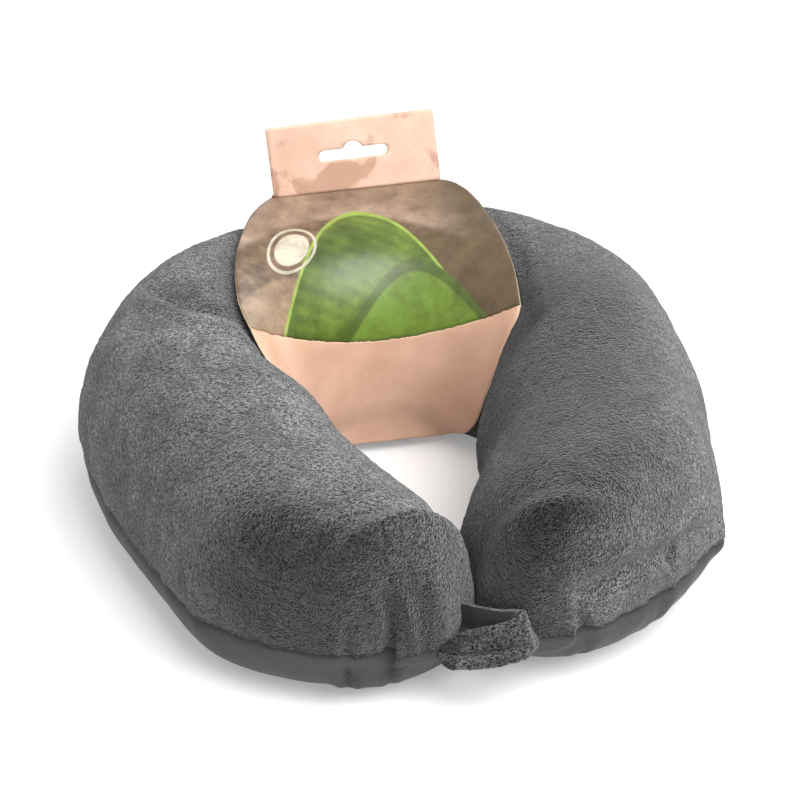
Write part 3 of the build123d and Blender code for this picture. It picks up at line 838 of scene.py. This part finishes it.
def in_header(x, y):
    """Inside the header's outline, a rectangle with small round corners, seen from the slot's middle."""
    half_height = HEADER_HEIGHT / 2
    across = np.maximum(np.abs(x) - HEADER_WIDTH / 2 + HEADER_CORNER, 0)
    tall = np.maximum(np.abs(y + SLOT_MIDDLE - half_height) - half_height + HEADER_CORNER, 0)
    return np.hypot(across, tall) < HEADER_CORNER


header_front, tree, shader = finish("header_board", Roughness=0.55, Specular_IOR_Level=0.4)
where = add(tree, "TexCoord").outputs["Object"]
shade = kraft_shade(tree, where, tint(240, 202, 180), tint(222, 180, 158), tint(250, 222, 204))
patch = ramp(tree, noise(tree, where, 42, 4, 0.55, 0.6), (0.53, (0, 0, 0, 1)), (0.6, (1, 1, 1, 1)))
shade = mixed(tree, maths(tree, "MULTIPLY", patch, 0.62), shade, tint(176, 134, 110))
tree.links.new(shade, shader.inputs["Base Color"])

step = np.linspace(0, 2 * np.pi, 241)[:-1]
hole, rim = far_edge(step, in_slot), far_edge(step, in_header)
reach = hole + (rim - hole) * np.linspace(0, 1, 13)[:, None]
x, y = reach * np.cos(step), reach * np.sin(step) + SLOT_MIDDLE
x = x + HEADER_SKEW[0] + HEADER_SKEW[1] * y / HEADER_HEIGHT
right = 0.5 + x / HEADER_WIDTH
lean = np.radians(HEADER_LEAN[0] + (HEADER_LEAN[1] - HEADER_LEAN[0]) * right)
base = RIDGE_HEIGHT + HEADER_FOOT - RIDGE_DROP * (1 - right)
sheet = np.dstack([x, RIDGE_RADIUS + y * np.sin(lean), base + y * np.cos(lean)])
for name, finish_used, off in (("front", header_front, -PLY_OFF), ("rear", kraft, PLY_OFF)):
    ply = grid_mesh("header_" + name, sleeve_place(sheet + (0, off, 0)), np.dstack([x, y]),
                    flip=name == "rear", wrap_columns=True)
    board(ply, finish_used, cut_edge, kraft)
    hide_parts("header_" + name + "_ply")
    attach(ply, "header")


# --- Closure loop --------------------------------------------------------------------------------
# A strap of the same plush, doubled and sewn at both ends into the tip of the left arm.

LOOP_STRAP = 3.0  # its thickness
# The strap's middle line from its near root on the tip's front, out, round its fold and back to the far
# root, with its half-width, how far its upper edge leans back in degrees and how full its lower hem is.
LOOP_ROUTE = np.array((
    (-18, -127.5, 30.5, 3.2, 20, 0.5), (-14.5, -130, 31, 4.6, 30, 1), (-9, -131.8, 31.8, 5.8, 38, 1),
    (-2, -133.8, 33.2, 6.4, 42, 1), (5.5, -135.8, 35, 6.8, 42, 0.9), (11.5, -136.6, 37, 7.6, 38, 0.6),
    (15.4, -135.2, 38.2, 7.6, 26, 0.2), (15.2, -132.8, 38.8, 7.2, 12, 0), (11.5, -131.4, 38.6, 6.9, 6, 0),
    (5, -129, 38.4, 6.7, 4, 0), (-1, -125, 38, 6.6, 4, 0), (-5.5, -120.5, 37.4, 6.4, 4, 0),
    (-10, -116.5, 36.5, 6.0, 4, 0)))
LOOP_ROWS = 150  # points along the strap
SQUARENESS = (0.45, 0.75)  # powers of the strap's section: through it and up it
HEM_FROM, HEM_TO = 0.5, 0.78  # the full lower hem, by share of the half-width below the middle
HEM_DROP, HEM_OUT, HEM_NIP = 3.4, 0.9, 1.5  # how far it hangs, stands out and is nipped in above
LOOP_FLUFF = ((0.22, 2.2, 41), (0.12, 1.2, 42))  # height, spacing and seed

knots = np.concatenate([[0], np.cumsum(np.linalg.norm(np.diff(LOOP_ROUTE[:, :3], axis=0), axis=1))])
route = through(knots, LOOP_ROUTE, np.linspace(0, knots[-1], LOOP_ROWS))
middle, half, lean, hem = route[:, :3], route[:, 3, None], np.radians(route[:, 4, None]), route[:, 5, None]
tangent = np.gradient(middle, axis=0)
tangent /= np.linalg.norm(tangent, axis=1)[:, None]
flat = np.column_stack([tangent[:, 1], -tangent[:, 0], np.zeros(LOOP_ROWS)])  # outward from the loop
flat /= np.linalg.norm(flat, axis=1)[:, None]
upright = np.array((0, 0, 1))
upward = upright * np.cos(lean) - flat * np.sin(lean)
outwards = flat * np.cos(lean) + upright * np.sin(lean)

turns = np.linspace(0, 2 * np.pi, 73)[:-1]
thick = np.sign(np.cos(turns)) * np.abs(np.cos(turns)) ** SQUARENESS[0]
tall = np.sign(np.sin(turns)) * np.abs(np.sin(turns)) ** SQUARENESS[1]
closing = np.ones((LOOP_ROWS, 1))  # each end is pinched shut, inside the tip
closing[[0, -1]], closing[[1, -2]] = 0.002, 0.7
lower = smooth_step(-tall, HEM_FROM, HEM_TO) * hem
depth = thick * LOOP_STRAP / 2 * (1 + 0.45 * lower) + HEM_OUT * lower
depth = depth - HEM_NIP * hem * (thick > 0) * bell(tall + HEM_FROM, 0.09)
width = tall * half - HEM_DROP * lower
section = outwards[:, None] * depth[..., None] + upward[:, None] * width[..., None]
grid = middle[:, None] + closing[..., None] * section
fluff = layered(grid, LOOP_FLUFF) + 0.6 * lower * rumple(grid, 1.5, 43)
grid = grid + outward(grid, -1) * (fluff * closing)[..., None]
loop = grid_mesh("closure_loop_plush", grid, grid[..., [0, 2]], wrap_columns=True)
loop.data.materials.append(plush)
loop.data.materials.append(knit)
row = np.arange(LOOP_ROWS)[:, None]
inner_side = np.abs(turns - np.pi) < 1.4
past_fold = 92  # from this row on, the strap's inner side shows the smooth fabric and lies in shade
lined = (row[:-1] > past_fold) & inner_side
loop.data.polygons.foreach_set("material_index", lined.astype(np.int32).ravel())
# Painted shade under the hem, on the far ply's inner side past the fold, and where the near root goes in.
shade_under_hem = 0.75 * bell(tall + HEM_FROM, 0.12) * hem
far_ply_shade = 0.85 * smooth_step(row, past_fold - 8, past_fold + 6) * inner_side
shade_near_root = 0.8 * (1 - smooth_step(row, 8, 26))
point_values(loop, "painted_shade", np.maximum(np.maximum(shade_under_hem, far_ply_shade), shade_near_root))
point_values(loop, "nap_and_facing_shade", np.full(shade_under_hem.shape, 0.6))
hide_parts("closure_loop")
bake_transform(loop)


# --- Floor, light and camera ---------------------------------------------------------------------
# A plain white table top, lit softly from above and behind.

bpy.ops.mesh.primitive_plane_add(size=8)
table = bpy.context.object
table.name = "table_top"
white, tree, shader = finish("white_table", Base_Color=(0.8, 0.8, 0.8, 1), Roughness=0.9,
                             Specular_IOR_Level=0.0)
camera_ray = add(tree, "LightPath").outputs["Is Camera Ray"]
glow = add(tree, "Emission", {"Strength": maths(tree, "MULTIPLY", camera_ray, 0.26)})
both = add(tree, "AddShader", {0: shader.outputs[0], 1: glow.outputs[0]})
tree.links.new(both.outputs[0], tree.nodes["Material Output"].inputs["Surface"])
table.data.materials.append(white)

world = bpy.data.worlds.new("studio")
world.use_nodes = True
bpy.context.scene.world = world
tree = world.node_tree
backdrop = tree.nodes["Background"]
backdrop.inputs["Color"].default_value = (1, 1, 1, 1)
camera_ray = add(tree, "LightPath").outputs["Is Camera Ray"]
tree.links.new(maths(tree, "MULTIPLY_ADD", camera_ray, 0.34, 0.66), backdrop.inputs["Strength"])

for name, place, size, power in (("key", (0.45, -0.9, 1.55), 1.4, 40), ("rim", (1.2, 0.9, 0.9), 1.0, 7)):
    data = bpy.data.lights.new(name, "AREA")
    data.energy, data.size = power, size
    lamp = bpy.data.objects.new(name, data)
    lamp.location = place
    lamp.rotation_euler = (Vector((0, 0, 0.05)) - Vector(place)).to_track_quat("-Z", "Y").to_euler()
    bpy.context.scene.collection.objects.link(lamp)

CAMERA_AZIMUTH, CAMERA_ELEVATION, CAMERA_DISTANCE = radians(-14.9), radians(34.45), 0.976
target = Vector((0, 0.0141, 0.045))
data = bpy.data.cameras.new("camera")
data.lens, data.sensor_width = 100, 36
data.shift_x, data.shift_y = 0.0089, 0.0163
camera = bpy.data.objects.new("camera", data)
camera.location = target + CAMERA_DISTANCE * Vector((sin(CAMERA_AZIMUTH) * cos(CAMERA_ELEVATION),
                                                     -cos(CAMERA_AZIMUTH) * cos(CAMERA_ELEVATION),
                                                     sin(CAMERA_ELEVATION)))
camera.rotation_euler = (target - camera.location).to_track_quat("-Z", "Y").to_euler()
bpy.context.scene.collection.objects.link(camera)
bpy.context.scene.camera = camera
bpy.context.scene.view_settings.view_transform = "Standard"
